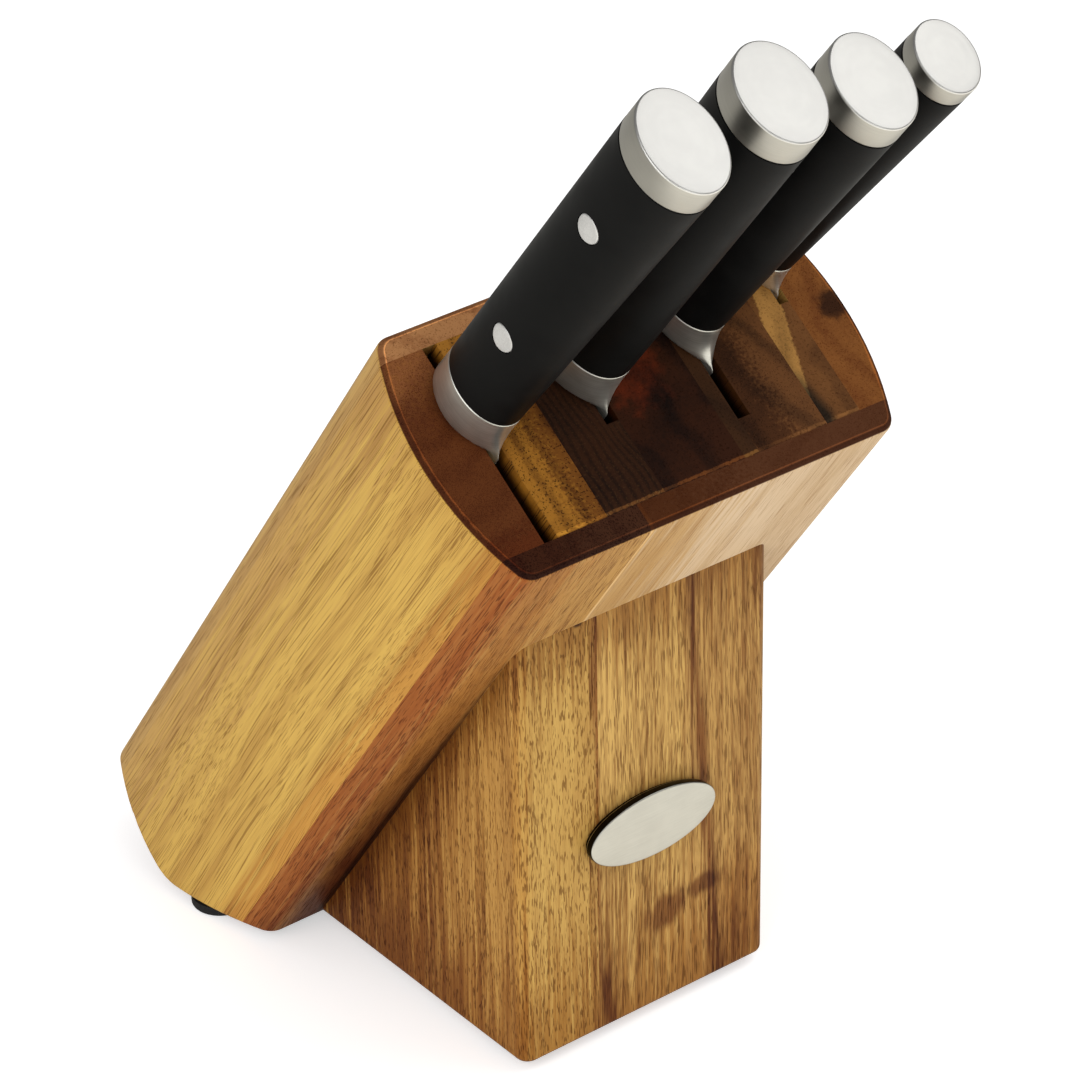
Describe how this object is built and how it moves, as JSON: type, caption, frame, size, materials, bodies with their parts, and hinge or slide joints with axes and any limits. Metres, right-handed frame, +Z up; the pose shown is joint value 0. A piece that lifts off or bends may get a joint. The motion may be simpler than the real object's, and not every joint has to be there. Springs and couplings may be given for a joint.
{
  "type": "knife block with knives",
  "caption": "Leaning slatted wooden knife block on a wedge post, holding knives with black riveted handles and steel caps that draw out of their slots.",
  "frame": {"origin": "bottom centre of the whole object's box, at the soles of the rubber feet", "axes": "+Z up, -Y towards the user (the post's front and its badge face -Y), +X to the user's right"},
  "size_m": [0.1368, 0.2508, 0.3202],
  "materials": {
    "acacia_golden": "oiled, open grained",
    "acacia_dark": "oiled, end grain",
    "acacia_red": "oiled",
    "acacia_brown": "oiled",
    "acacia_sapwood": "oiled",
    "beech": "plain",
    "black_rubber": "matt",
    "screw_steel": "zinc plated",
    "dark_backing": "gloss",
    "polished_badge": "polished",
    "blade_steel": "fine ground",
    "satin_steel": "satin",
    "rivet_steel": "satin",
    "black_handle": "satin moulded"
  },
  "bodies": {
    "block": {"left_cheek": "acacia_red", "slot_spacer": "acacia_dark", "golden_slat": "acacia_golden", "dark_slat": "acacia_dark", "red_slat": "acacia_red", "closing_strip": "acacia_brown", "brown_slat": "acacia_brown", "sapwood_slat": "acacia_sapwood", "right_cheek": "acacia_brown", "front_board_left": "acacia_red", "front_board_right": "acacia_red", "back_board": "acacia_brown", "post_stave_left": "acacia_golden", "post_stave_middle": "acacia_golden", "post_stave_right": "acacia_golden", "dowels": "beech", "feet": "black_rubber", "foot_screws": "screw_steel", "badge_backing": "dark_backing", "badge_plate": "polished_badge", "badge_pins": "screw_steel"},
    "chef_knife": {"chef_blade": "blade_steel", "chef_bolster": "satin_steel", "chef_handle": "black_handle", "chef_rivets": "rivet_steel", "chef_end_cap": "satin_steel"},
    "slicing_knife": {"slicing_blade": "blade_steel", "slicing_bolster": "satin_steel", "slicing_handle": "black_handle", "slicing_rivets": "rivet_steel", "slicing_end_cap": "satin_steel"},
    "santoku_knife": {"santoku_blade": "blade_steel", "santoku_bolster": "satin_steel", "santoku_handle": "black_handle", "santoku_rivets": "rivet_steel", "santoku_end_cap": "satin_steel"},
    "paring_knife": {"paring_blade": "blade_steel", "paring_bolster": "satin_steel", "paring_handle": "black_handle", "paring_rivets": "rivet_steel", "paring_end_cap": "satin_steel"}
  },
  "joints": [
    {"name": "chef_draw", "type": "slide", "parent": "block", "child": "chef_knife", "axis": [0, -0.6211, 0.7837], "range_m": [0, 0.215]},
    {"name": "slicing_draw", "type": "slide", "parent": "block", "child": "slicing_knife", "axis": [0, -0.6032, 0.7976], "range_m": [0, 0.19]},
    {"name": "santoku_draw", "type": "slide", "parent": "block", "child": "santoku_knife", "axis": [0, -0.6225, 0.7826], "range_m": [0, 0.172]},
    {"name": "paring_draw", "type": "slide", "parent": "block", "child": "paring_knife", "axis": [0, -0.6508, 0.7593], "range_m": [0, 0.102]}
  ]
}
